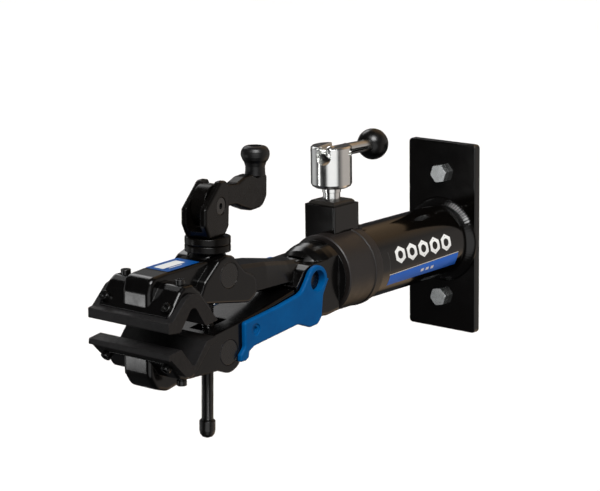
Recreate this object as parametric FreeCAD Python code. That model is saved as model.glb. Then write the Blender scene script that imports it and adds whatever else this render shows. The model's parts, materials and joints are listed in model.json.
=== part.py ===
import FreeCAD, Part
import math
import os

# Wall-mounted bicycle repair clamp. Origin: on the wall plane, on the tube axis.
# +Y points into the wall, +X to the right of someone facing the wall, +Z up. Millimetres.

Vector = FreeCAD.Vector

# Wall bracket
plate_width = 70.0
plate_height = 163.6
plate_thickness = 6.35
plate_rise = 2.9            # plate centre above the tube axis
bolt_spacing = 108.0
bolt_rise = 3.6             # middle of the two bolts above the tube axis
bolt_radius = 4.76          # 3/8 inch lag bolts
bolt_hole_radius = 6.0
bolt_head_flats = 14.3
bolt_head_height = 5.6
bolt_length = 50.8
tube_radius = 30.15
tube_wall = 3.0
tube_end = -169.0
weld_leg = 7.4

# Head lock on top of the tube
lock_x = -10.6              # the lock stands beside the tube's centre plane
lock_y = -142.1
boss_half = 15.875           # square boss under the lock
boss_wall = 2.4
boss_top = 52.6
insert_half = 13.2
insert_top = 55.6
stud_radius = 7.0
barrel_radius = 16.7
barrel_bottom = 65.8
barrel_top = 99.8
slot_radius = 6.0
slot_floor = 86.0
lever_pivot_z = 94.0
lever_length = 89.0         # pivot to ball centre
lever_heading = 16.0        # degrees from +Y towards -X
lever_droop = 5.0
lever_radius = 5.0
ball_radius = 13.2

# Front bushing and shaft
collar_front = -170.5
collar_radius = 31.7
collar_ridge_radius = 32.5
collar_ridge_rear = -133.8
shaft_radius = 25.4
shaft_wall = 3.0
shaft_rear = -25.0

# Clamp head
head_rear = -172.2
dome_radius = 28.8
flat_half = 21.4            # side flats of the head
heel_drop = -28.4           # underside of the head
arm_half = 15.0
slot_half = 8.3             # slot in the head for the lower arm's tongue
rod_slot_half = 6.4
hinge = Vector(0, -204.6, 4.6)      # lower arm and cam lever turn here
hinge_pin_radius = 6.0

# Jaws and adjusting screw
rod_y = -303.6              # rod axis at the upper pivot
rod_lean = 2.0              # degrees, foot towards the pads
rod_radius = 4.76
rod_bottom = -100.0
upper_pivot = Vector(0, rod_y, 27.3)
pivot_distance = 59.3
lower_pivot = Vector(0, rod_y - pivot_distance * math.sin(math.radians(rod_lean)),
                     27.3 - pivot_distance * math.cos(math.radians(rod_lean)))
trunnion_radius = 10.0
cheek_half = 22.0
block_half = 14.0
pad_hole_radius = 2.6
upper_screw_length = 8.0
lower_screw_length = 7.0
ear_half = 36.5
pad_half = 41.0
washer_radius = 17.5
washer_bottom = 43.8
washer_gap = 49.0
flange_top = 54.8

# Spinner and crank, turned about the rod axis by spinner_turn degrees
spinner_turn = 12.0
fork_half = 11.0
fork_plate = 5.0
fork_floor = 61.0
fork_bolt = Vector(0, 1.1, 78.2)    # y is measured from the rod axis
knob_reach = 72.7

# Cam lever
lever_inner = 22.3
lever_outer = 26.0
eye_radius = 12.2
eye_recess_radius = 8.5
rivet = Vector(0, -278.8, -19.2)
rivet_seat_radius = 4.6
hub_radius = 10.8           # lever hub, turning in the head's counterbore
hub_inner = 16.5
ear_radius = 20.6            # round ends of the head beside the lower arm
arm_clear_radius = 21.2

running = 0.06              # radial clearance of a running fit


def box(x0, x1, y0, y1, z0, z1):
    return Part.makeBox(x1 - x0, y1 - y0, z1 - z0, Vector(x0, y0, z0))


def rod_between(radius, start, end):
    return Part.makeCylinder(radius, (end - start).Length, start, end - start)


def cross_rod(radius, centre, x0, x1):
    """Cylinder along X through a point of the side view."""
    return Part.makeCylinder(radius, x1 - x0, Vector(x0, centre.y, centre.z), Vector(1, 0, 0))


def upright(radius, z0, z1, x=0.0, y=rod_y):
    return Part.makeCylinder(radius, z1 - z0, Vector(x, y, z0))


def along_tube(radius, y0, y1):
    return Part.makeCylinder(radius, y1 - y0, Vector(0, y0, 0), Vector(0, 1, 0))


def rounded_wire(corners):
    """Closed outline in the YZ plane: straight sides joined by arcs. A corner is (y, z, radius)."""
    edges = []
    spans = []
    count = len(corners)
    for i in range(count):
        here = Vector(0, corners[i][0], corners[i][1])
        before = Vector(0, corners[i - 1][0], corners[i - 1][1])
        after = Vector(0, corners[(i + 1) % count][0], corners[(i + 1) % count][1])
        radius = corners[i][2]
        if radius == 0:
            spans.append((here, None, here))
            continue
        back = (before - here).normalize()
        ahead = (after - here).normalize()
        half = back.getAngle(ahead) / 2
        reach = radius / math.tan(half)
        centre = here + (back + ahead).normalize() * (radius / math.sin(half))
        middle = centre + (here - centre).normalize() * radius
        spans.append((here + back * reach, middle, here + ahead * reach))
    for i in range(count):
        start, middle, end = spans[i]
        if middle is not None:
            edges.append(Part.Arc(start, middle, end).toShape())
        following = spans[(i + 1) % count][0]
        if (following - end).Length > 1e-6:
            edges.append(Part.LineSegment(end, following).toShape())
    return Part.Wire(edges)


def prism(corners, x0, x1):
    """Side-view outline pushed along X from x0 to x1."""
    face = Part.Face(rounded_wire(corners))
    face.translate(Vector(x0, 0, 0))
    return face.extrude(Vector(x1 - x0, 0, 0))


def lathe(profile, origin, axis):
    """Solid of revolution from (radius, distance along the axis) points."""
    points = [Vector(r, 0, d) for r, d in profile]
    points.append(points[0])
    solid = Part.Face(Part.makePolygon(points)).revolve(Vector(0, 0, 0), Vector(0, 0, 1), 360)
    solid.Placement = FreeCAD.Placement(origin, FreeCAD.Rotation(Vector(0, 0, 1), axis))
    return solid


def soften(shape, radius, wanted):
    return shape.makeFillet(radius, [e for e in shape.Edges if wanted(e)])


def group(solids):
    return Part.makeCompound(solids)


# ---------------------------------------------------------------- wall bracket

def bolt_heights():
    return [bolt_rise - bolt_spacing / 2, bolt_rise + bolt_spacing / 2]


def mounting_plate():
    half = plate_width / 2
    low = plate_rise - plate_height / 2
    plate = box(-half, half, -plate_thickness, 0, low, low + plate_height)
    plate = soften(plate, 3.5, lambda e: abs(e.tangentAt(e.FirstParameter).y) > 0.9)
    plate = soften(plate, 0.9, lambda e: abs(e.CenterOfMass.y + plate_thickness) < 0.01)
    for z in bolt_heights():
        plate = plate.cut(rod_between(bolt_hole_radius, Vector(0, -10, z), Vector(0, 5, z)))
    return plate


def lag_bolts():
    bolts = []
    for z in bolt_heights():
        corner = bolt_head_flats / 2 / math.cos(math.pi / 6)
        ring = [Vector(corner * math.cos(math.radians(60 * i + 12)), 0,
                       corner * math.sin(math.radians(60 * i + 12))) for i in range(7)]
        head = Part.Face(Part.makePolygon(ring)).extrude(Vector(0, -bolt_head_height, 0))
        crown = Part.makeCone(corner + 0.7 + bolt_head_height, corner - 0.5,
                              bolt_head_height + 1.2, Vector(0, 1.2, 0), Vector(0, -1, 0))
        shank = rod_between(bolt_radius, Vector(0, -1, 0), Vector(0, bolt_length - 8, 0))
        tip = Part.makeCone(bolt_radius, 0.8, 8, Vector(0, bolt_length - 8, 0), Vector(0, 1, 0))
        bolt = head.common(crown).fuse([shank, tip]).removeSplitter()
        bolt.translate(Vector(0, -plate_thickness, z))
        bolts.append(bolt)
    return group(bolts)


def main_tube():
    outer = along_tube(tube_radius, tube_end, -plate_thickness)
    bore = along_tube(tube_radius - tube_wall, tube_end - 1, 0)
    return outer.cut(bore).cut(upright(stud_radius + 2, 0, 40, lock_x, lock_y))


def plate_weld():
    front = plate_thickness
    profile = [(tube_radius, front), (tube_radius + weld_leg, front),
               (tube_radius + weld_leg * 0.72, front + weld_leg * 0.42),
               (tube_radius + weld_leg * 0.36, front + weld_leg * 0.8),
               (tube_radius, front + weld_leg * 1.05)]
    return lathe(profile, Vector(0, 0, 0), Vector(0, -1, 0))


def boss_block(half, z0, z1, corner):
    block = box(lock_x - half, lock_x + half, lock_y - half, lock_y + half, z0, z1)
    return soften(block, corner, lambda e: abs(e.tangentAt(e.FirstParameter).z) > 0.9)


def lock_boss():
    shell = boss_block(boss_half, 8, boss_top, 1.6)
    hollow = boss_block(boss_half - boss_wall, 0, 70, 0.4)
    return shell.cut(hollow).cut(along_tube(tube_radius, -200, -100))


def boss_weld():
    """Bead around the foot of the boss, behind the bushing's notch."""
    bead = box(lock_x - boss_half, lock_x + boss_half, lock_y + boss_half, lock_y + boss_half + 3.2, 8, 34)
    bead = bead.common(along_tube(tube_radius + 3.0, -200, -100))
    return bead.cut(along_tube(tube_radius, -200, -100))


def boss_insert():
    low = box(lock_x - insert_half, lock_x + insert_half, lock_y - insert_half, lock_y + insert_half,
              37, boss_top)
    cap = Part.makeBox(2 * insert_half, 2 * insert_half, insert_top - boss_top,
                       Vector(lock_x - insert_half, lock_y - insert_half, boss_top))
    cap = cap.makeChamfer(1.6, [e for e in cap.Edges if abs(e.CenterOfMass.z - insert_top) < 0.01])
    nut = low.fuse(cap).removeSplitter()
    return nut.cut(upright(stud_radius + running, 30, 70, lock_x, lock_y))


def front_bushing():
    ridge = -collar_ridge_rear
    profile = [(shaft_radius + 0.3, -collar_front), (collar_radius - 0.8, -collar_front),
               (collar_radius, -collar_front - 0.8), (collar_radius, ridge + 4.6),
               (collar_ridge_radius, ridge + 4.0), (collar_ridge_radius, ridge),
               (collar_radius - 0.5, ridge - 0.6), (collar_radius - 0.5, ridge - 6.2),
               (tube_radius + 0.1, ridge - 7.2), (tube_radius + 0.1, -tube_end + 0.1),
               (tube_radius - tube_wall - 0.1, -tube_end + 0.1),
               (tube_radius - tube_wall - 0.1, ridge - 7.2), (shaft_radius + 0.3, ridge - 7.2)]
    sleeve = lathe(profile, Vector(0, 0, 0), Vector(0, -1, 0))
    room = boss_half + 0.6
    notch = box(lock_x - room, lock_x + room, lock_y - room, -120, 5, 50)
    notch = notch.cut(along_tube(tube_radius - 0.05, -200, -100))
    return sleeve.cut(notch).cut(upright(stud_radius + 2, 0, 40, lock_x, lock_y))


def rear_bushing():
    ring = along_tube(tube_radius - tube_wall - 0.1, -62, -36)
    return ring.cut(along_tube(shaft_radius + 0.1, -70, -20))


# ---------------------------------------------------------------- head lock

def lever_direction():
    heading = math.radians(lever_heading)
    droop = math.radians(lever_droop)
    return Vector(-math.sin(heading) * math.cos(droop), math.cos(heading) * math.cos(droop),
                  -math.sin(droop))


def lever_pivot():
    return Vector(lock_x, lock_y, lever_pivot_z)


def at_heading(shape):
    """Turn something built facing +Y to the lever's heading, about the lock axis."""
    shape.rotate(Vector(lock_x, lock_y, 0), Vector(0, 0, 1), lever_heading)
    return shape


def lock_pad():
    """Slug with a hollowed foot that lies along the shaft."""
    pad = upright(6.2, 12.0, 33.0, lock_x, lock_y).cut(along_tube(shaft_radius + 0.25, -200, -100))
    return pad.cut(upright(4.0, 30.0, 34.0, lock_x, lock_y))


def lock_stud():
    stem = upright(stud_radius, 33.2, barrel_bottom + 8, lock_x, lock_y)
    nose = upright(3.9, 30.2, 33.4, lock_x, lock_y)
    collar = upright(stud_radius + 0.6, barrel_bottom - 4.0, barrel_bottom, lock_x, lock_y)
    return stem.fuse([nose, collar]).removeSplitter()


def lock_barrel():
    profile = [(0, barrel_bottom), (barrel_radius - 3.2, barrel_bottom),
               (barrel_radius - 1.0, barrel_bottom + 1.3), (barrel_radius, barrel_bottom + 3.2),
               (barrel_radius, barrel_top - 1.3), (barrel_radius - 1.3, barrel_top),
               (0, barrel_top)]
    barrel = lathe(profile, Vector(lock_x, lock_y, 0), Vector(0, 0, 1))
    slot = box(lock_x - slot_radius, lock_x + slot_radius, lock_y - 20, lock_y + 20,
               slot_floor + slot_radius, barrel_top + 5)
    slot = slot.fuse(rod_between(slot_radius, Vector(lock_x, lock_y - 20, slot_floor + slot_radius),
                                 Vector(lock_x, lock_y + 20, slot_floor + slot_radius)))
    pin_hole = cross_rod(2.5, lever_pivot(), lock_x - 20, lock_x + 20)
    stud_hole = upright(stud_radius, 60, barrel_bottom + 8, lock_x, lock_y)
    return barrel.cut(at_heading(slot)).cut(at_heading(pin_hole)).cut(stud_hole)


def lever_pin():
    return at_heading(cross_rod(2.5, lever_pivot(), lock_x - 14.6, lock_x + 14.6))


def lever_rod():
    """Built level along +Y from the pivot, then drooped and turned to its heading."""
    pivot = lever_pivot()
    bar = rod_between(lever_radius, pivot, pivot + Vector(0, lever_length + 4, 0))
    end = Part.makeSphere(5.4, pivot)
    bar = bar.fuse(end).cut(cross_rod(2.5 + running, pivot, lock_x - 10, lock_x + 10))
    bar.rotate(pivot, Vector(1, 0, 0), -lever_droop)
    return at_heading(bar)


def ball_knob():
    centre = lever_pivot() + lever_direction() * lever_length
    ball = Part.makeSphere(ball_radius, centre)
    direction = lever_direction()
    flat = Part.makeBox(40, 40, 20, Vector(-20, -20, -20 - ball_radius + 1.2))
    flat.Placement = FreeCAD.Placement(centre, FreeCAD.Rotation(Vector(0, 0, 1), direction))
    bore = rod_between(lever_radius, centre - direction * 30, centre + direction * 4)
    return ball.cut(flat).cut(bore)


# ---------------------------------------------------------------- clamp head

def head_dome():
    """Round shoulder in front of the tube, cut to the side flats."""
    profile = [(0, -head_rear), (dome_radius - 1.0, -head_rear), (dome_radius, 173.2), (dome_radius, 180),
               (28.1, 185.5), (26.5, 191), (23.8, 197), (20.0, 201.5), (15.0, 205), (0, 207)]
    dome = lathe(profile, Vector(0, 0, 0), Vector(0, -1, 0))
    for side in (-1, 1):
        near, far = sorted((side * flat_half, side * 50))
        dome = dome.cut(box(near, far, -230, head_rear - 1.0, -50, 50))
    return dome


def section_wire(y, top_half, foot_half, low, high):
    """Closed section across the arm, its corners cut at 45 degrees by bevel."""
    bevel = 1.5
    half = [(foot_half - bevel, low), (foot_half, low + bevel), (top_half + 0.7, high - 2 * bevel),
            (top_half - bevel, high)]
    points = [Vector(x, y, z) for x, z in half] + [Vector(-x, y, z) for x, z in reversed(half)]
    return Part.makePolygon(points + [points[0]])


def upper_arm():
    """Tapered beam from the head to the forked end at the upper pivot."""
    beam = Part.makeLoft([section_wire(-284, 13.8, arm_half, 5.5, 30.0),
                          section_wire(-252, 13.0, arm_half, 5.3, 26.8),
                          section_wire(-222, 9.0, arm_half, 4.9, 21.6),
                          section_wire(-196, 7.5, arm_half, 4.5, 19.0)], True, True)
    tip = prism([(-282, 29.5, 0), (-286, 30.0, 6), (-297, 38.4, 3), (-299, 15.5, 3),
                 (-286, 5.5, 8), (-282, 5.5, 0)], -arm_half, arm_half)
    end = cross_rod(12.5, upper_pivot, -arm_half, arm_half)
    return beam.fuse([tip, end])


def head_ears():
    """Flat-sided block that carries the hinge, with a round front beside the lower arm."""
    outline = prism([(head_rear - 1.0, 18.3, 0), (-209.5, 16.8, 4), (-216.0, 13.8, 6), (-221.0, 7.6, 8),
                     (-226.0, 1.8, 0), (-230, -30, 0), (head_rear - 1.0, -24, 0)], -flat_half, flat_half)
    ears = outline.common(cross_rod(ear_radius, hinge, -flat_half, flat_half))
    rear = prism([(head_rear - 1.0, 18.3, 0), (hinge.y, 16.9, 0), (hinge.y, -16.0, 0),
                  (head_rear - 1.0, -16.0, 0)], -flat_half, flat_half)
    return ears.fuse(rear)


def head_casting():
    heel = prism([(head_rear - 1.0, 10, 0), (-198.5, 10, 0), (-198.5, heel_drop + 1.5, 5),
                  (-186, heel_drop, 8), (head_rear - 1.0, heel_drop + 1.5, 0)], -flat_half, flat_half)
    heel = soften(heel, 4.0, lambda e: abs(e.CenterOfMass.x) > flat_half - 0.01
                  and e.CenterOfMass.z < -20)
    head = head_dome().fuse([heel, head_ears(), upper_arm()])
    tongue_slot = cross_rod(15.6, hinge, -slot_half, slot_half)
    tongue_slot = tongue_slot.fuse(box(-slot_half, slot_half, -240, hinge.y + 15.6, -40, hinge.z))
    fork_slot = box(-rod_slot_half, rod_slot_half, -330, upper_pivot.y + 12, 0, 60)
    head = head.cut(tongue_slot).cut(fork_slot)
    head = head.cut(cross_rod(hinge_pin_radius + running, hinge, -40, 40))
    for side in (-1, 1):
        x0, x1 = sorted((side * (hub_inner - 0.3), side * 40))
        head = head.cut(cross_rod(hub_radius + 0.2, hinge, x0, x1))
    head = head.cut(cross_rod(trunnion_radius + running, upper_pivot, -40, 40))
    spigot = along_tube(shaft_radius - shaft_wall, head_rear - 2, -135)
    return head.fuse(spigot).removeSplitter()


def clamp_shaft():
    shaft = along_tube(shaft_radius, head_rear, shaft_rear)
    shaft = shaft.cut(along_tube(shaft_radius - shaft_wall, head_rear - 1, 0))
    groove = along_tube(shaft_radius + 1, -31.6, -29.8).cut(along_tube(shaft_radius - 1.5, -40, -20))
    return shaft.cut(groove)


def retaining_ring():
    ring = along_tube(shaft_radius + 1.2, -31.5, -29.9).cut(along_tube(shaft_radius - 1.4, -40, -20))
    return ring.cut(box(-3, 3, -40, -20, -40, 0))


# ---------------------------------------------------------------- upper jaw

def upper_pad_section():
    return [(-390.3, 2.8, 1.2), (-390.3, 10.4, 1.2), (-386, 11.2, 2), (-371.5, 25.2, 3),
            (-364.5, 27.6, 5), (-356.8, 26.0, 3), (-342.5, 8.2, 3), (-337.8, 3.0, 0.6),
            (-351.5, 1.6, 2), (-363.8, 20.5, 4.5), (-378, 2.0, 2)]


def pad_with_holes(section, places, depth):
    pad = prism(section, -pad_half, pad_half)
    for seat, outward in places:
        pad = pad.cut(rod_between(pad_hole_radius, seat, seat - outward * depth))
    return pad


def upper_pad():
    return pad_with_holes(upper_pad_section(), upper_screw_places(), upper_screw_length + 0.4)


def ear_section():
    return [(-387.2, 10.0, 0), (-385.2, 12.6, 2), (-372.6, 29.6, 4), (-367.5, 32.8, 3),
            (-358.6, 32.8, 4), (-350.5, 26.2, 3), (-338.5, 11.0, 2), (-338.5, 5, 0)]


def upper_jaw():
    ears = prism(ear_section(), -ear_half, ear_half)
    ears = soften(ears, 3.0, lambda e: abs(e.CenterOfMass.x) > ear_half - 0.01
                  and e.CenterOfMass.z > 12)
    block = prism([(-382.4, 12.0, 0), (-382.0, 27.0, 10), (-378.6, 37.4, 8), (-361, 39.0, 14),
                   (-318, 40.2, 0), (-318, 4.0, 0), (-345, 3.0, 0)], -block_half, block_half)
    block = soften(block, 3.8, lambda e: abs(e.CenterOfMass.x) > block_half - 0.01
                   and e.CenterOfMass.z > 12 and e.CenterOfMass.y < -324)
    seat = Part.makeCone(15.5, 12.5, washer_bottom - 36.5, Vector(0, rod_y, 36.5))
    seat = leaned(seat.common(box(-30, 30, -340, rod_y + 15, 30, 60)))
    cheeks = prism([(-337, 14.0, 2), (-329.8, 27.0, 4), (-314.0, 40.4, 5), (-305.5, 43.3, 6),
                    (-297.5, 41.2, 7), (-284.5, 27.5, 10), (-272.0, 21.0, 8), (-270.8, 7.5, 8),
                    (-281.0, 1.6, 5), (-326, 9.4, 4), (-337, 11.0, 2)], -cheek_half, cheek_half)
    cheeks = soften(cheeks, 2.6, lambda e: abs(e.CenterOfMass.x) > cheek_half - 0.01)
    jaw = ears.fuse([block, cheeks, seat])
    gap = arm_half + 0.5
    room = cross_rod(13.1, upper_pivot, -gap, gap)
    room = room.fuse([box(-gap, gap, rod_y, -260, -10, 40.4), box(-gap, gap, rod_y - 13.1, -260, -10, 27.3)])
    jaw = jaw.cut(room).cut(upper_pad())
    jaw = jaw.cut(prism([(-394, -4, 0), (-394, 10.0, 0), (-389, 10.6, 0), (-364, 24, 0), (-340, 6.0, 0),
                         (-337.2, 3.2, 0), (-337, -4, 0)], -60, 60))
    jaw = jaw.cut(leaned(upright(washer_radius + 0.5, washer_bottom, 60)))
    jaw = jaw.cut(leaned(upright(rod_radius + 0.6, 30, 60)))
    jaw = jaw.cut(cross_rod(trunnion_radius, upper_pivot, -40, 40))
    for screw in upper_screw_places():
        jaw = jaw.cut(rod_between(2.6, screw[0] + screw[1] * 1, screw[0] - screw[1] * 12))
        jaw = jaw.cut(rod_between(4.6, screw[0], screw[0] + screw[1] * 12))
    return jaw.removeSplitter()


def upper_screw_places():
    """(seat of the head, outward direction) for each pad screw of the upper jaw."""
    places = []
    for side in (-1, 1):
        places.append((Vector(side * 27.5, -363.2, 32.6), Vector(0, 0, 1)))
        places.append((Vector(side * 31.6, -380.6, 18.0), Vector(0, -0.77, 0.638)))
    return places


def pad_screws(places, length):
    screws = []
    for seat, outward in places:
        head = rod_between(3.8, seat + outward * 0.05, seat + outward * 4.0)
        head = soften(head, 0.5, lambda e: e.Closed and (e.CenterOfMass - seat).Length > 3)
        socket = rod_between(1.9, seat + outward * 2.2, seat + outward * 6)
        shank = rod_between(2.5, seat - outward * length, seat + outward * 0.2)
        screws.append(head.fuse(shank).cut(socket).removeSplitter())
    return group(screws)


def upper_pad_screws():
    return pad_screws(upper_screw_places(), upper_screw_length)


def upper_trunnion():
    pin = cross_rod(trunnion_radius - 0.02, upper_pivot, -cheek_half, cheek_half)
    pin = soften(pin, 0.8, lambda e: e.Closed)
    return pin.cut(leaned(upright(rod_radius + 0.5, 0, 60)))


def thrust_washer():
    washer = upright(washer_radius, washer_bottom, washer_gap - 0.1)
    washer = soften(washer, 0.9, lambda e: e.Closed and e.CenterOfMass.z > washer_bottom)
    return leaned(washer.cut(upright(rod_radius + 0.3, 40, 60)))


# ---------------------------------------------------------------- adjusting screw

def leaned(shape):
    """Lean something built about the upright rod axis to the rod's own lean."""
    shape.rotate(upper_pivot, Vector(1, 0, 0), -rod_lean)
    return shape


def turned(shape):
    """Turn a spinner piece, built with its crank along +Y, about the rod axis, then lean it."""
    shape.rotate(Vector(0, rod_y, 0), Vector(0, 0, 1), spinner_turn)
    return leaned(shape)


def adjusting_rod():
    return leaned(upright(rod_radius, rod_bottom + 3, fork_floor - 0.3))


def rod_end_nut():
    profile = [(0, -88.0), (5.0, -88.0), (6.2, -89.2), (6.2, -96.5), (5.6, -99.4), (4.0, -101.5),
               (1.8, -102.4), (0, -102.6)]
    nut = lathe(profile, Vector(0, rod_y, 0), Vector(0, 0, 1))
    return leaned(nut.cut(upright(rod_radius, rod_bottom + 3, -80)))


def spinner_flange():
    disc = upright(washer_radius, washer_gap + 0.15, flange_top)
    disc = soften(disc, 0.9, lambda e: e.Closed)
    return leaned(disc.cut(upright(rod_radius, 40, 60)))


def fork_side():
    """Side outline of a fork plate, y from the rod axis."""
    return [(rod_y - 21.5, 78.0, 3), (rod_y + 1.0, 96.6, 5), (rod_y + 10.5, 96.4, 5),
            (rod_y + 14.5, 89.0, 6), (rod_y + 14.0, 61.0, 5), (rod_y + 8.0, flange_top, 5),
            (rod_y - 14.5, flange_top, 5), (rod_y - 21.5, 66.0, 5)]


def spinner_fork():
    inner = fork_half - fork_plate
    body = prism(fork_side(), -fork_half, fork_half)
    body = soften(body, 2.2, lambda e: abs(e.CenterOfMass.x) > fork_half - 0.01
                  and e.CenterOfMass.z > flange_top + 1)
    body = body.cut(box(-inner, inner, rod_y - 60, rod_y + 60, fork_floor, 120))
    bolt = fork_bolt + Vector(0, rod_y, 0)
    body = body.cut(cross_rod(3.05, bolt, -30, 30))
    for side in (-1, 1):
        x0, x1 = sorted((side * (fork_half - 2.2), side * 30))
        body = body.cut(cross_rod(6.9, bolt, x0, x1))
    body = body.cut(upright(rod_radius, 40, fork_floor - 0.3))
    return turned(body)


def spinner_bolt():
    bolt = fork_bolt + Vector(0, rod_y, 0)
    head = cross_rod(6.7, bolt, fork_half - 2.1, fork_half - 0.3)
    head = soften(head, 0.5, lambda e: e.CenterOfMass.x > fork_half - 1)
    socket = cross_rod(2.3, bolt, fork_half - 2.4, 30)
    shank = cross_rod(3.0, bolt, -fork_half + 0.6, fork_half - 2.0)
    return turned(head.fuse(shank).cut(socket).removeSplitter())


def spinner_nut():
    bolt = fork_bolt + Vector(0, rod_y, 0)
    corners = [Vector(-fork_half + 0.2, bolt.y + 6.4 * math.cos(math.radians(60 * i)),
                      bolt.z + 6.4 * math.sin(math.radians(60 * i))) for i in range(7)]
    nut = Part.Face(Part.makePolygon(corners)).extrude(Vector(1.9, 0, 0))
    return turned(nut.cut(cross_rod(3.0, bolt, -30, 0)))


def crank_arm():
    bolt = fork_bolt + Vector(0, rod_y, 0)
    half = fork_half - fork_plate - 0.35
    hub = cross_rod(16.4, bolt, -half, half)
    outline = [(3, 91.6, 0), (24, 90.8, 20), (37, 89.9, 12), (48, 93.2, 8), (60, 93.6, 5), (66, 91.0, 5),
               (82.6, 91.0, 2.5), (82.6, 73.0, 8), (75, 65.8, 10), (58.5, 65.2, 14), (45, 69.6, 20),
               (34, 73.8, 20), (3, 74.2, 0)]
    bar = prism([(rod_y + y, z, radius) for y, z, radius in outline], -half, half)
    bar = soften(bar, 2.2, lambda e: abs(e.CenterOfMass.x) > half - 0.01 and e.CenterOfMass.y > rod_y + 26)
    axle_y = rod_y + knob_reach
    seat = upright(half, 80, 91.0, y=axle_y)
    arm = hub.fuse([bar, seat]).cut(cross_rod(3.0 + running, bolt, -30, 30))
    arm = arm.cut(upright(2.6, 60, 96, y=axle_y)).cut(upright(3.75, 55, 71, y=axle_y))
    arm = arm.cut(upright(9.0, 91.0, 96, y=axle_y))
    return turned(arm.removeSplitter())


def knob_screw():
    axle_y = rod_y + knob_reach
    screw = upright(2.5, 68, 109, y=axle_y).fuse([upright(3.6, 68.0, 70.9, y=axle_y),
                                                  upright(4.4, 107.2, 109.4, y=axle_y)])
    return turned(screw.cut(upright(1.6, 60, 69.4, y=axle_y)).removeSplitter())


def crank_knob():
    profile = [(2.5 + running, 91.3), (8.1, 91.3), (7.7, 94.5), (7.8, 98.2), (8.7, 101.2),
               (10.3, 103.6), (11.2, 106.0), (11.4, 108.0), (11.0, 110.2), (9.9, 112.2),
               (8.3, 113.6), (6.6, 114.1), (4.8, 114.1), (4.8, 107.0), (2.5 + running, 107.0)]
    return turned(lathe(profile, Vector(0, rod_y + knob_reach, 0), Vector(0, 0, 1)))


def lower_pad_section():
    return [(-391.0, -17.6, 0.8), (-390.4, -12.8, 1.0), (-377.8, -11.0, 1.5), (-364.8, -27.5, 3),
            (-350.4, -10.4, 1.5), (-339.6, -9.0, 1), (-338.6, -12.8, 0.8), (-346.6, -14.6, 1.5),
            (-361.6, -30.6, 4), (-368.6, -33.6, 4), (-373.6, -32.2, 3), (-388.6, -16.8, 1.5)]


def lower_pad():
    return pad_with_holes(lower_pad_section(), lower_screw_places(), lower_screw_length + 0.4)


def lower_jaw():
    arm = prism([(-227.5, 0.6, 0), (-261.6, -6.3, 40), (-293, -11.6, 0), (-330, -16.6, 0),
                 (-330, -40, 0), (-292, -30.5, 10), (-250, -26.0, 0), (-214.5, -24.5, 5)],
                -flat_half, flat_half)
    arm = soften(arm, 1.6, lambda e: abs(e.CenterOfMass.x) > flat_half - 0.01
                 and e.CenterOfMass.y > -320 and e.CenterOfMass.y < -228)
    arm = arm.cut(cross_rod(arm_clear_radius, hinge, -30, 30))
    tongue = prism([(-203.4, 4.0, 0), (-226.5, 1.4, 0), (-240, -1.8, 0), (-240, -20, 0), (-216, -19, 3),
                    (-203.4, -10.0, 0)], -slot_half + 0.4, slot_half - 0.4)
    tongue = tongue.fuse(cross_rod(14.3, hinge, -slot_half + 0.4, slot_half - 0.4))
    cheeks = prism([(-291, -11.3, 0), (-331, -17.0, 0), (-343, -17.2, 0), (-358, -36, 0), (-352, -42.5, 8),
                    (-331, -43, 10), (-316, -43.6, 0), (-306, -44, 0), (-291, -33, 0)],
                   -cheek_half, cheek_half)
    cheeks = cheeks.fuse(cross_rod(15.6, lower_pivot, -cheek_half, cheek_half)).removeSplitter()
    block = prism([(-383.2, -17, 0), (-383.2, -36.0, 10), (-377.0, -46.4, 10), (-364, -50.6, 9),
                   (-350, -48.0, 12), (-330, -44.6, 0), (-318, -35, 0), (-318, -20, 0), (-340, -17, 0)],
                  -block_half, block_half)
    ears = prism([(-387.5, -15, 0), (-385.4, -19.5, 2), (-373.8, -35.4, 4), (-367, -38.0, 4),
                  (-357.5, -37.8, 5), (-343.5, -20, 2), (-339.5, -14.2, 0)], -ear_half + 2, ear_half - 2)
    ears = soften(ears, 2.8, lambda e: abs(e.CenterOfMass.x) > ear_half - 2.01
                  and e.CenterOfMass.z < -18)
    block = soften(block, 3.8, lambda e: abs(e.CenterOfMass.x) > block_half - 0.01
                   and e.CenterOfMass.z < -18 and e.CenterOfMass.y < -332)
    jaw = arm.fuse([tongue, cheeks, block, ears])
    jaw = jaw.cut(lower_pad())
    jaw = jaw.cut(prism([(-394, -2, 0), (-394, -17.0, 0), (-389, -17.2, 0), (-378, -12, 0), (-364.8, -30, 0),
                         (-350.4, -12, 0), (-339, -13.6, 0), (-336.6, -14.0, 0), (-336.6, -2, 0)], -60, 60))
    jaw = jaw.cut(box(-7.0, 7.0, rod_y - 14, rod_y + 12, -60, 0))
    jaw = jaw.cut(cross_rod(trunnion_radius + running, lower_pivot, -40, 40))
    jaw = jaw.cut(cross_rod(hinge_pin_radius + running, hinge, -40, 40))
    for seat, outward in lower_screw_places():
        jaw = jaw.cut(rod_between(2.6, seat + outward * 1, seat - outward * 12))
        jaw = jaw.cut(rod_between(4.6, seat, seat + outward * 12))
    return jaw.removeSplitter()


def lower_screw_places():
    places = []
    for side in (-1, 1):
        places.append((Vector(side * 26.5, -363.0, -39.6), Vector(0, 0, -1)))
        places.append((Vector(side * 30.6, -381.6, -24.8), Vector(0, -0.77, -0.638)))
    return places


def lower_pad_screws():
    return pad_screws(lower_screw_places(), lower_screw_length)


def lower_trunnion():
    pin = cross_rod(trunnion_radius, lower_pivot, -cheek_half, cheek_half)
    pin = soften(pin, 0.8, lambda e: e.Closed)
    return pin.cut(leaned(upright(rod_radius + 0.6, -60, 0)))


# ---------------------------------------------------------------- cam lever

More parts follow.
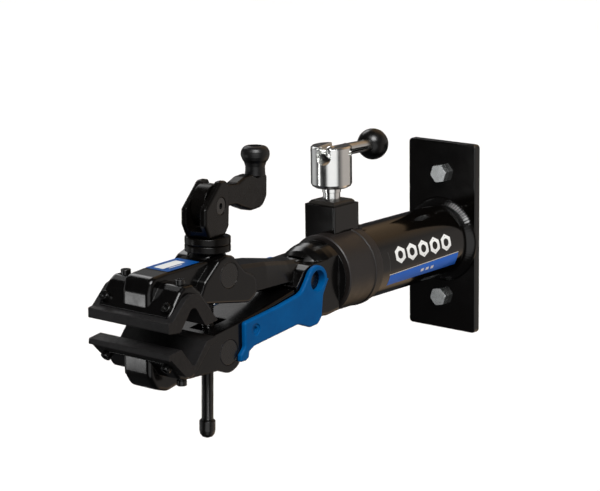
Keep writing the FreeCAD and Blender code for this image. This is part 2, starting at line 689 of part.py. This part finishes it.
def cam_lever_outline():
    """Plate outline without the eye, which is a separate disc."""
    return [(-291.2, -11.5, 2.5), (-251.0, -6.4, 30), (-224.0, -1.5, 12), (-214.0, 12.0, 4),
            (hinge.y, hinge.z, 0), (-190.6, 4.0, 0), (-197.6, -8.0, 8), (-199.6, -25.0, 4),
            (-204.5, -30.5, 5), (-214.0, -31.2, 6), (-228.5, -25.8, 8), (-280.0, -31.8, 6),
            (-286.2, -34.8, 1), (-286.8, -39.5, 2), (-290.4, -41.3, 1.5), (-296.6, -41.3, 1.5),
            (-296.2, -36.0, 2), (-291.2, -31.0, 4)]


def cam_lever():
    cheeks = []
    for side in (-1, 1):
        x0, x1 = sorted((side * lever_inner, side * lever_outer))
        plate = prism(cam_lever_outline(), x0, x1)
        plate = plate.fuse(cross_rod(eye_radius, hinge, x0, x1)).removeSplitter()
        plate = soften(plate, 1.5, lambda e: abs(e.CenterOfMass.x) > lever_outer - 0.01)
        inner, outer = sorted((side * hub_inner, side * lever_outer))
        hub = cross_rod(hub_radius, hinge, inner, outer)
        recess = sorted((side * (hub_inner + 2.0), side * 40))
        plate = plate.fuse(hub).cut(cross_rod(eye_recess_radius, hinge, recess[0], recess[1]))
        for radius, depth in ((rivet_seat_radius, 0.9), (rivet_seat_radius - 2.2, 2.6)):
            x0, x1 = sorted((side * (lever_outer - depth), side * 40))
            plate = plate.cut(cross_rod(radius, rivet, x0, x1))
        cheeks.append(plate)
    bar = cross_rod(2.2, Vector(0, -288.6, -38.3), -lever_inner - 1, lever_inner + 1)
    lever = cheeks[0].fuse([cheeks[1], bar])
    return lever.cut(cross_rod(hinge_pin_radius, hinge, -40, 40)).removeSplitter()


def cam_pin():
    end = hub_inner + 2.0
    return cross_rod(hinge_pin_radius, hinge, -end, end)


def cam_pin_caps():
    caps = []
    for side in (-1, 1):
        x0, x1 = sorted((side * (hub_inner + 2.0), side * (hub_inner + 3.4)))
        caps.append(cross_rod(eye_recess_radius - 0.2, hinge, x0, x1))
    return group(caps)


PIECES = [
    mounting_plate, lag_bolts, main_tube, plate_weld, lock_boss, boss_weld, boss_insert,
    front_bushing, rear_bushing, lock_pad, lock_stud, lock_barrel, lever_pin, lever_rod,
    ball_knob, head_casting, clamp_shaft, retaining_ring, upper_jaw, upper_pad,
    upper_pad_screws, upper_trunnion, thrust_washer, adjusting_rod, rod_end_nut,
    spinner_flange, spinner_fork, spinner_bolt, spinner_nut, crank_arm, knob_screw,
    crank_knob, lower_jaw, lower_pad, lower_pad_screws, lower_trunnion, cam_lever, cam_pin,
    cam_pin_caps,
]

os.makedirs("parts", exist_ok=True)
for piece in PIECES:
    shape = piece()
    solids = shape.Solids
    print(piece.__name__, len(solids), shape.isValid(), round(shape.Volume))
    if len(solids) == 1:
        shape = solids[0]
    shape.exportStep(os.path.join("parts", piece.__name__ + ".step"))
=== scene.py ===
import json
import math

import bpy
from mathutils import Matrix, Vector

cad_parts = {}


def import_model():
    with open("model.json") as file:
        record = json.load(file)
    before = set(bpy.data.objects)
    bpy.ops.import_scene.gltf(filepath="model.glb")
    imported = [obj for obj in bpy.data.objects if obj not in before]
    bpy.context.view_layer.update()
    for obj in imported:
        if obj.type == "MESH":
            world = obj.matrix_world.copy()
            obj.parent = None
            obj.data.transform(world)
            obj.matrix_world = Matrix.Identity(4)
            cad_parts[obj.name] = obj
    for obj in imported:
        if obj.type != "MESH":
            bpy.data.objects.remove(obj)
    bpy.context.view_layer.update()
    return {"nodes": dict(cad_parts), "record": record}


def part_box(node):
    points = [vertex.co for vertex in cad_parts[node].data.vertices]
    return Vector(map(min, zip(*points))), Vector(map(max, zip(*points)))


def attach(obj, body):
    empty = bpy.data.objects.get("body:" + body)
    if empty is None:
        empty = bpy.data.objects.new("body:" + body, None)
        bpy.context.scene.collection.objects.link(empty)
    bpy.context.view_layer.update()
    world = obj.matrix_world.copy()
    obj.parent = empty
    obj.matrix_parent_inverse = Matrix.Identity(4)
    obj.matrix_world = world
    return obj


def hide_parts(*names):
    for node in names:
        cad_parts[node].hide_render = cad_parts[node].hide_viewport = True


MM = 0.001
MIX_FACTOR, MIX_FIRST, MIX_SECOND, MIX_RESULT = 0, 6, 7, 2     # the colour sockets of a Mix node

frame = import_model()


# ---------------------------------------------------------------- materials

def node(tree, kind, **sockets):
    made = tree.nodes.new(kind)
    for name, value in sockets.items():
        made.inputs[name].default_value = value
    return made


def noise(tree, coords, scale, detail=3.0, rough=0.55, stretch=None):
    """Noise factor over object space, in features per metre, stretched along an axis if asked."""
    source = coords
    if stretch:
        mapping = tree.nodes.new("ShaderNodeMapping")
        mapping.inputs["Scale"].default_value = stretch
        tree.links.new(coords, mapping.inputs["Vector"])
        source = mapping.outputs["Vector"]
    made = node(tree, "ShaderNodeTexNoise", Scale=scale, Detail=detail, Roughness=rough)
    tree.links.new(source, made.inputs["Vector"])
    return made.outputs["Fac"]


def spread(tree, factor, low, high, start=0.3, end=0.7):
    """A factor between start and end, spread over low to high."""
    made = tree.nodes.new("ShaderNodeMapRange")
    made.inputs["From Min"].default_value = start
    made.inputs["From Max"].default_value = end
    made.inputs["To Min"].default_value = low
    made.inputs["To Max"].default_value = high
    tree.links.new(factor, made.inputs["Value"])
    return made.outputs["Result"]


def two_tone(tree, factor, first, second):
    made = tree.nodes.new("ShaderNodeMix")
    made.data_type = "RGBA"
    made.inputs[MIX_FIRST].default_value = (*first, 1)
    made.inputs[MIX_SECOND].default_value = (*second, 1)
    tree.links.new(factor, made.inputs[MIX_FACTOR])
    return made.outputs[MIX_RESULT]


def bumps(tree, height, strength, distance, below=None):
    made = node(tree, "ShaderNodeBump", Strength=strength, Distance=distance)
    tree.links.new(height, made.inputs["Height"])
    if below:
        tree.links.new(below, made.inputs["Normal"])
    return made.outputs["Normal"]


def surface(name, tones, rough, metallic=0.0, grain=600.0, bump=0.15, depth=0.00012, edge=0.0004,
            coat=0.0, specular=0.5, tone_scale=45.0, stretch=None, coat_rough=0.05):
    """A material with two mottled tones, uneven roughness, a fine surface texture and rounded edges."""
    made = bpy.data.materials.new(name)
    made.use_nodes = True
    tree = made.node_tree
    shader = tree.nodes["Principled BSDF"]
    shader.inputs["Metallic"].default_value = metallic
    shader.inputs["Specular IOR Level"].default_value = specular
    shader.inputs["Coat Weight"].default_value = coat
    shader.inputs["Coat Roughness"].default_value = coat_rough
    coords = tree.nodes.new("ShaderNodeTexCoord").outputs["Object"]
    colour = two_tone(tree, spread(tree, noise(tree, coords, tone_scale, 4.0), 0, 1), *tones)
    tree.links.new(colour, shader.inputs["Base Color"])
    tree.links.new(spread(tree, noise(tree, coords, tone_scale * 3, 3.0, stretch=stretch), *rough),
                   shader.inputs["Roughness"])
    below = None
    if edge:
        bevel = tree.nodes.new("ShaderNodeBevel")
        bevel.samples = 6
        bevel.inputs["Radius"].default_value = edge
        below = bevel.outputs["Normal"]
    tree.links.new(bumps(tree, noise(tree, coords, grain, 3.0, stretch=stretch), bump, depth, below),
                   shader.inputs["Normal"])
    return made


MATERIALS = {
    "black_paint": surface("black_paint", ((0.0012, 0.0010, 0.0009), (0.0020, 0.0015, 0.0011)), (0.09, 0.13),
                           grain=300, bump=0.02, edge=0.0005, coat=0.1, tone_scale=20, specular=0.42),
    "weld_paint": surface("weld_paint", ((0.0016, 0.0015, 0.0014), (0.0024, 0.0020, 0.0017)), (0.10, 0.18),
                          grain=700, bump=0.08, edge=0.0002, coat=0.05, specular=0.35),
    "cast_black": surface("cast_black", ((0.0011, 0.0010, 0.0010), (0.0019, 0.0016, 0.0015)), (0.15, 0.24),
                          grain=900, bump=0.12, edge=0.0010, coat=0.12, coat_rough=0.08, specular=0.30),
    "zinc": surface("zinc", ((0.66, 0.68, 0.68), (0.80, 0.83, 0.83)), (0.24, 0.36), metallic=1.0,
                    grain=1400, bump=0.15, edge=0.0002, tone_scale=160),
    "bronze_insert": surface("bronze_insert", ((0.014, 0.012, 0.010), (0.024, 0.021, 0.018)), (0.28, 0.4),
                             metallic=0.3, grain=1200, bump=0.2, edge=0.0005, tone_scale=120),
    "bushing_plastic": surface("bushing_plastic", ((0.0110, 0.0088, 0.0080), (0.0140, 0.0114, 0.0102)),
                               (0.34, 0.44), grain=1600, bump=0.2, edge=0.0004, specular=0.4),
    "brass_pad": surface("brass_pad", ((0.55, 0.40, 0.16), (0.66, 0.50, 0.22)), (0.3, 0.4), metallic=1.0,
                         grain=900),
    "polished_steel": surface("polished_steel", ((0.76, 0.77, 0.76), (0.84, 0.84, 0.82)), (0.16, 0.22),
                              metallic=1.0, grain=1500, bump=0.01, edge=0.0005, tone_scale=60),
    "ball_plastic": surface("ball_plastic", ((0.0018, 0.0016, 0.0015), (0.0026, 0.0023, 0.0021)), (0.24, 0.32),
                            grain=500, bump=0.05, edge=0.0003, specular=0.4),
    "shaft_steel": surface("shaft_steel", ((0.45, 0.45, 0.45), (0.56, 0.56, 0.55)), (0.25, 0.38),
                           metallic=1.0, grain=900, stretch=(1, 0.06, 1)),
    "black_oxide": surface("black_oxide", ((0.0016, 0.0015, 0.0014), (0.0030, 0.0027, 0.0024)), (0.20, 0.30),
                           grain=1500, bump=0.15, edge=0.0004, tone_scale=220, coat=0.1, coat_rough=0.1),
    "thread_black": surface("thread_black", ((0.0030, 0.0028, 0.0026), (0.0044, 0.0040, 0.0037)), (0.16, 0.24),
                            grain=1500, bump=0.05, edge=0.0, specular=0.9, coat=0.4),
    "pad_rubber": surface("pad_rubber", ((0.0030, 0.0027, 0.0028), (0.0048, 0.0042, 0.0044)), (0.55, 0.70),
                          grain=2200, bump=0.3, depth=0.0002, edge=0.0006, specular=0.38, tone_scale=90),
    "spinner_black": surface("spinner_black", ((0.0016, 0.0013, 0.0011), (0.0028, 0.0023, 0.0019)),
                             (0.20, 0.30), grain=1300, bump=0.12, edge=0.0010, specular=0.18),
    "knob_plastic": surface("knob_plastic", ((0.0026, 0.0026, 0.0027), (0.0040, 0.0038, 0.0040)), (0.3, 0.42),
                            grain=1500, bump=0.2, edge=0.0004, specular=0.4),
    "blue_lever": surface("blue_lever", ((0.0, 0.062, 0.200), (0.0, 0.078, 0.240)), (0.36, 0.46),
                          grain=900, bump=0.1, edge=0.0011, specular=0.06, tone_scale=60),
    "label_white": surface("label_white", ((0.74, 0.74, 0.72), (0.80, 0.80, 0.78)), (0.3, 0.4),
                           grain=1500, bump=0.05, edge=0.0),
    "label_blue": surface("label_blue", ((0.0, 0.060, 0.250), (0.002, 0.072, 0.290)), (0.25, 0.35),
                          grain=1500, bump=0.03, edge=0.0, specular=0.3, tone_scale=20),
    "stripe_blue": surface("stripe_blue", ((0.008, 0.140, 0.690), (0.014, 0.155, 0.740)), (0.30, 0.38),
                           grain=1500, bump=0.02, edge=0.0, metallic=0.5, specular=0.15, tone_scale=15),
    # Grey for a painted highlight: the light line along the front edge of the label sheet, not print
    "painted_edge_highlight": surface("painted_edge_highlight", ((0.060, 0.058, 0.055), (0.090, 0.086, 0.080)), (0.3, 0.4),
                           grain=1500, bump=0.02, edge=0.0, specular=0.2, tone_scale=300),
}


def paint(obj, name):
    obj.data.materials.clear()
    obj.data.materials.append(MATERIALS[name])
    return obj


for part in frame["record"]["subparts"]:
    paint(frame["nodes"][part["node"]], part["material_slot"])


# ---------------------------------------------------------------- pieces

def mesh_piece(name, points, faces, smooth=True):
    mesh = bpy.data.meshes.new(name)
    mesh.from_pydata([tuple(p) for p in points], [], faces)
    mesh.validate()
    mesh.update()
    for face in mesh.polygons:
        face.use_smooth = smooth
    piece = bpy.data.objects.new(name, mesh)
    bpy.context.scene.collection.objects.link(piece)
    return piece


def tube_of_rings(rings, closed_ends=True):
    """Faces that join equal rings of points in order."""
    count = len(rings[0])
    points = [p for ring in rings for p in ring]
    faces = []
    for k in range(len(rings) - 1):
        for i in range(count):
            j = (i + 1) % count
            faces.append((k * count + i, k * count + j, (k + 1) * count + j, (k + 1) * count + i))
    if closed_ends:
        faces.append(tuple(range(count))[::-1])
        faces.append(tuple(range(len(points) - count, len(points))))
    return points, faces


def joint(name):
    return next(j for j in frame["record"]["behaviour"]["joints"] if j["name"] == name)


def tube_radius():
    low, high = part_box("main_tube")
    return (high.x - low.x) / 2


def threaded_rod():
    """The adjusting rod with a 16 threads per inch screw along its whole length, fading out at both ends."""
    axis = Vector(joint("spinner_turn")["axis"]).normalized()
    through = Vector(joint("spinner_turn")["pos_m"])
    low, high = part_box("adjusting_rod")
    lean = 1 / axis.z
    end_gap = 0.1 * MM
    start = low.z + end_gap
    end = high.z - end_gap
    pitch = 25.4 * MM / 16
    steps_per_pitch = 8
    around = 32
    crest = 4.74 * MM
    tooth = 1.15 * MM
    side = Vector((1, 0, 0))
    front = axis.cross(side)
    rings = []
    count = int((end - start) / pitch * steps_per_pitch)
    for k in range(count + 1):
        z = start + (end - start) * k / count
        centre = through + axis * (z - through.z) * lean
        ring = []
        for i in range(around):
            turn = 2 * math.pi * i / around
            phase = ((z - start) / pitch - i / around) % 1.0
            wave = abs(2 * phase - 1) ** 2
            fade = min(1.0, (z - start) / pitch, (end - z) / pitch)
            radius = crest - tooth * wave * fade
            ring.append(centre + (side * math.cos(turn) + front * math.sin(turn)) * radius)
        rings.append(ring)
    points, faces = tube_of_rings(rings)
    piece = mesh_piece("threaded_rod", points, faces)
    paint(piece, "thread_black")
    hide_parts("adjusting_rod")
    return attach(piece, "screw")


def weld_bead():
    """Fillet weld between the tube and the plate, with ripples that are clearest on one side."""
    low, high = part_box("plate_weld")
    outer = (high.x - low.x) / 2
    inner = tube_radius()
    leg = outer - inner
    plate_face = high.y
    around = 720
    across = 10
    ripples = 84
    ripple_depth = 0.45 * MM
    root = inner - 0.3 * MM
    clearest = math.radians(57)
    rings = []
    for i in range(around):
        turn = 2 * math.pi * i / around
        drift = 0.5 * math.sin(3 * turn + 0.7) + 0.3 * math.sin(7 * turn + 2.0)
        phase = (ripples * turn / (2 * math.pi) + 0.25 * math.sin(5 * turn)) % 1.0
        scallop = (phase - 0.5) ** 2 * 4
        strong = 0.08 + 0.92 * max(0.0, math.cos(turn - clearest) * 10 - 9)
        size = leg * (0.90 + 0.025 * drift) - ripple_depth * scallop * strong
        section = [(root, 0.0), (root, size)]
        for k in range(across + 1):
            slope = math.pi / 2 * k / across
            bulge = 1 - 0.18 * math.sin(2 * slope)
            section.append((inner + size * math.sin(slope) * bulge, size * math.cos(slope) * bulge))
        rings.append([Vector((r * math.cos(turn), plate_face - d, r * math.sin(turn))) for r, d in section])
    points, faces = tube_of_rings(rings, closed_ends=False)
    size_of_ring = len(rings[0])
    last = (around - 1) * size_of_ring
    for i in range(size_of_ring):
        j = (i + 1) % size_of_ring
        faces.append((last + i, last + j, j, i))
    piece = mesh_piece("weld_bead", points, faces)
    paint(piece, "weld_paint")
    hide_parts("plate_weld")
    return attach(piece, "wall_bracket")


def on_tube(y, degrees, lift):
    """A point a little off the tube's skin. The angle is counted up from the +X side."""
    radius = tube_radius() + lift
    turn = math.radians(degrees)
    return Vector((radius * math.cos(turn), y, radius * math.sin(turn)))


def wrapped_band(name, y0, y1, low0, low1, high0, high1, lift, finish):
    """Label strip on the tube between two lines, each given by its angle at y0 and at y1."""
    along, up = 24, 8
    points, faces = [], []
    for i in range(along + 1):
        s = i / along
        for k in range(up + 1):
            t = k / up
            low = low0 + (low1 - low0) * s
            high = high0 + (high1 - high0) * s
            points.append(on_tube(y0 + (y1 - y0) * s, low + (high - low) * t, lift))
    for i in range(along):
        for k in range(up):
            a = i * (up + 1) + k
            faces.append((a, a + up + 1, a + up + 2, a + 1))
    piece = mesh_piece(name, points, faces)
    paint(piece, finish)
    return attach(piece, "wall_bracket")


def wrapped_nut(index, y, degrees, size, lift):
    """A plain hexagon ring on the tube, about size metres across its corners."""
    radius = tube_radius()
    hole = 0.46
    points, faces = [], []
    per_side = 4
    outline = []
    for side in range(6):
        a0 = math.radians(60 * side + 30)
        a1 = math.radians(60 * side + 90)
        for k in range(per_side):
            t = k / per_side
            outline.append((math.cos(a0) * (1 - t) + math.cos(a1) * t,
                            math.sin(a0) * (1 - t) + math.sin(a1) * t))
    for u, v in outline:
        length = math.hypot(u, v)
        for reach in (1.0, hole / length):
            points.append(on_tube(y + u * reach * size / 2,
                                  degrees + math.degrees(v * reach * size / 2 / radius), lift))
    count = len(outline)
    for i in range(count):
        j = (i + 1) % count
        faces.append((2 * i, 2 * j, 2 * j + 1, 2 * i + 1))
    piece = mesh_piece("label_nut_%d" % index, points, faces)
    paint(piece, "label_white")
    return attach(piece, "wall_bracket")


def tube_label():
    """Blue stripe with a white line above it and three ticks on it, a row of hexagon rings, and a thin band of
    painted highlight along the front edge of the label sheet.
    """
    lift = 0.06 * MM
    rear = -0.0232
    wrapped_band("label_stripe", -0.1165, rear, -33.0, -31.0, -14.5, -9.2, lift, "stripe_blue")
    wrapped_band("label_line", -0.1172, rear, -13.9, -8.6, -12.9, -7.6, lift, "label_white")
    # A thin grey band along the front edge of the label sheet, painted as the highlight that this edge catches
    wrapped_band("label_edge_highlight", -0.1176, -0.1173, -12.0, -12.0, 23.0, 23.0, lift, "painted_edge_highlight")
    rings, row_front, row_length, ring_size = 5, -0.1025, 0.0625, 14.6 * MM
    for i in range(rings):
        share = i / (rings - 1)
        wrapped_nut(i, row_front + row_length * share, 14.5 - 1.7 * share, ring_size, lift)
    tick_front, tick_step, tick_length = -0.0735, 6.8 * MM, 3.8 * MM
    for i in range(3):
        front = tick_front + tick_step * i
        wrapped_band("label_tick_%d" % i, front, front + tick_length, -24.5, -24.0, -19.5, -19.0, lift * 2,
                     "label_white")


def sticker(name, x0, x1, y0, y1, lift, corner, finish):
    """Rounded sticker on the sloping top of the upper block, whose edges are given as (y, z)."""
    front_y, front_z = -0.361, 0.0390
    rear_y, rear_z = -0.318, 0.0402
    slope = (rear_z - front_z) / (rear_y - front_y)
    corner_steps = 6
    outline = []
    for cx, cy, start in ((x1 - corner, y1 - corner, 0), (x0 + corner, y1 - corner, 90),
                          (x0 + corner, y0 + corner, 180), (x1 - corner, y0 + corner, 270)):
        for k in range(corner_steps + 1):
            turn = math.radians(start + 90 * k / corner_steps)
            outline.append((cx + corner * math.cos(turn), cy + corner * math.sin(turn)))
    points = [Vector((x, y, front_z + slope * (y - front_y) + lift)) for x, y in outline]
    piece = mesh_piece(name, points, [tuple(range(len(points)))], smooth=False)
    paint(piece, finish)
    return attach(piece, "upper_jaw_body")


threaded_rod()
weld_bead()
tube_label()
sticker("sticker_blue", -0.0115, 0.0115, -0.3590, -0.3245, 0.10 * MM, 1.2 * MM, "label_blue")
sticker("sticker_patch", -0.0070, 0.0030, -0.3550, -0.3310, 0.18 * MM, 1.0 * MM, "label_white")
sticker("sticker_line", 0.0047, 0.0058, -0.3510, -0.3370, 0.18 * MM, 0.4 * MM, "label_white")


# ---------------------------------------------------------------- room, lights and camera

def stage_material(name, colour, rough):
    return surface(name, (colour, tuple(c * 0.985 for c in colour)), (rough, rough + 0.05),
                   grain=40, bump=0.02, edge=0.0, tone_scale=2.0)


def floor():
    """Wide pale floor, well below the object. It stays out of reflections and bounced light."""
    level = -0.55
    reach = 14.0
    corners = ((-reach, -reach), (reach, -reach), (reach, reach), (-reach, reach))
    points = [Vector((x, y, level)) for x, y in corners]
    piece = mesh_piece("floor", points, [(0, 1, 2, 3)])
    piece.data.materials.append(stage_material("floor_pale", (0.93, 0.93, 0.93), 0.9))
    piece.visible_glossy = False
    piece.visible_diffuse = False


def sun(aim_from, strength, spread_degrees):
    """Broad even light, as from a large soft window."""
    light = bpy.data.lights.new("sun", "SUN")
    light.energy = strength
    light.angle = math.radians(spread_degrees)
    made = bpy.data.objects.new("sun", light)
    made.rotation_euler = (-Vector(aim_from)).to_track_quat("-Z", "Y").to_euler()
    bpy.context.scene.collection.objects.link(made)


def area(name, place, aim, width, height, power):
    """A rectangular softbox that the camera does not see."""
    light = bpy.data.lights.new(name, "AREA")
    light.shape = "RECTANGLE"
    light.size = width
    light.size_y = height
    light.energy = power
    made = bpy.data.objects.new(name, light)
    made.location = place
    made.rotation_euler = (Vector(aim) - Vector(place)).to_track_quat("-Z", "Y").to_euler()
    made.visible_camera = False
    bpy.context.scene.collection.objects.link(made)


def world():
    """Dim room with soft windows that light the object, and plain white where the camera sees past it.

    Each window is a direction, its half width in degrees, its softness in degrees and its light.
    """
    windows = [
        ((0.63, 0.75, -0.20), 30, 26, (0.44, 0.40, 0.37)),
        ((0.70, -0.72, -0.16), 22, 14, (1.00, 1.00, 1.00)),
        ((-0.95, -0.25, -0.20), 12, 14, (0.45, 0.45, 0.45)),
        ((-0.74, 0.33, 0.58), 9, 8, (3.0, 3.0, 3.0)),
        ((-0.65, 0.60, 0.47), 5, 6, (0.40, 0.40, 0.40)),
        ((-0.10, 0.74, 0.66), 14, 20, (0.50, 0.33, 0.18)),
        ((0.22, 0.74, -0.62), 10, 16, (0.50, 0.30, 0.12)),
        ((0.11, -0.52, 0.83), 9, 8, (1.6, 1.6, 1.6)),
    ]
    room = (0.045, 0.045, 0.047)
    made = bpy.data.worlds.new("studio")
    made.use_nodes = True
    tree = made.node_tree
    direction = tree.nodes.new("ShaderNodeTexCoord").outputs["Generated"]
    total = None
    for aim, half, soft, light in windows:
        dot = tree.nodes.new("ShaderNodeVectorMath")
        dot.operation = "DOT_PRODUCT"
        dot.inputs[1].default_value = Vector(aim).normalized()
        tree.links.new(direction, dot.inputs[0])
        glow = spread(tree, dot.outputs["Value"], 0, 1,
                      math.cos(math.radians(half + soft)), math.cos(math.radians(half)))
        scaled = tree.nodes.new("ShaderNodeVectorMath")
        scaled.operation = "SCALE"
        scaled.inputs[0].default_value = light
        tree.links.new(glow, scaled.inputs["Scale"])
        added = tree.nodes.new("ShaderNodeVectorMath")
        added.operation = "ADD"
        tree.links.new(scaled.outputs["Vector"], added.inputs[0])
        if total:
            tree.links.new(total, added.inputs[1])
        else:
            added.inputs[1].default_value = room
        total = added.outputs["Vector"]
    seen = tree.nodes.new("ShaderNodeMix")
    seen.data_type = "RGBA"
    seen.inputs[MIX_SECOND].default_value = (1.0, 1.0, 1.0, 1)
    camera_ray = tree.nodes.new("ShaderNodeLightPath").outputs["Is Camera Ray"]
    tree.links.new(camera_ray, seen.inputs[MIX_FACTOR])
    tree.links.new(total, seen.inputs[MIX_FIRST])
    tree.links.new(seen.outputs[MIX_RESULT], tree.nodes["Background"].inputs["Color"])
    bpy.context.scene.world = made


def camera():
    """At the photograph's angle: 40 degrees to the right of the jaws and 13 degrees up."""
    around, up_angle, roll = (math.radians(a) for a in (40.207, 12.618, -0.756))
    data = bpy.data.cameras.new("camera")
    data.lens = 129.97
    data.sensor_width = 36.0
    data.clip_start = 0.05
    data.clip_end = 50
    made = bpy.data.objects.new("camera", data)
    side = Vector((math.cos(around), math.sin(around), 0))
    back = Vector((math.sin(around) * math.cos(up_angle), -math.cos(around) * math.cos(up_angle),
                   math.sin(up_angle)))
    level_up = back.cross(side)
    right = side * math.cos(roll) + level_up * math.sin(roll)
    up = level_up * math.cos(roll) - side * math.sin(roll)
    place = Matrix((right, up, back)).transposed().to_4x4()
    place.translation = Vector((1.08121, -1.47430, 0.40281))
    made.matrix_world = place
    bpy.context.scene.collection.objects.link(made)
    bpy.context.scene.camera = made
    bpy.context.scene.view_settings.view_transform = "Standard"


floor()
world()
sun((0.50, -0.42, 0.76), 3.5, 32)
area("front_soft", (-0.465, -0.865, -0.140), (0, -0.382, 0.02), 0.075, 0.15, 0.25)
camera()


# ---------------------------------------------------------------- finish


bpy.context.view_layer.update()
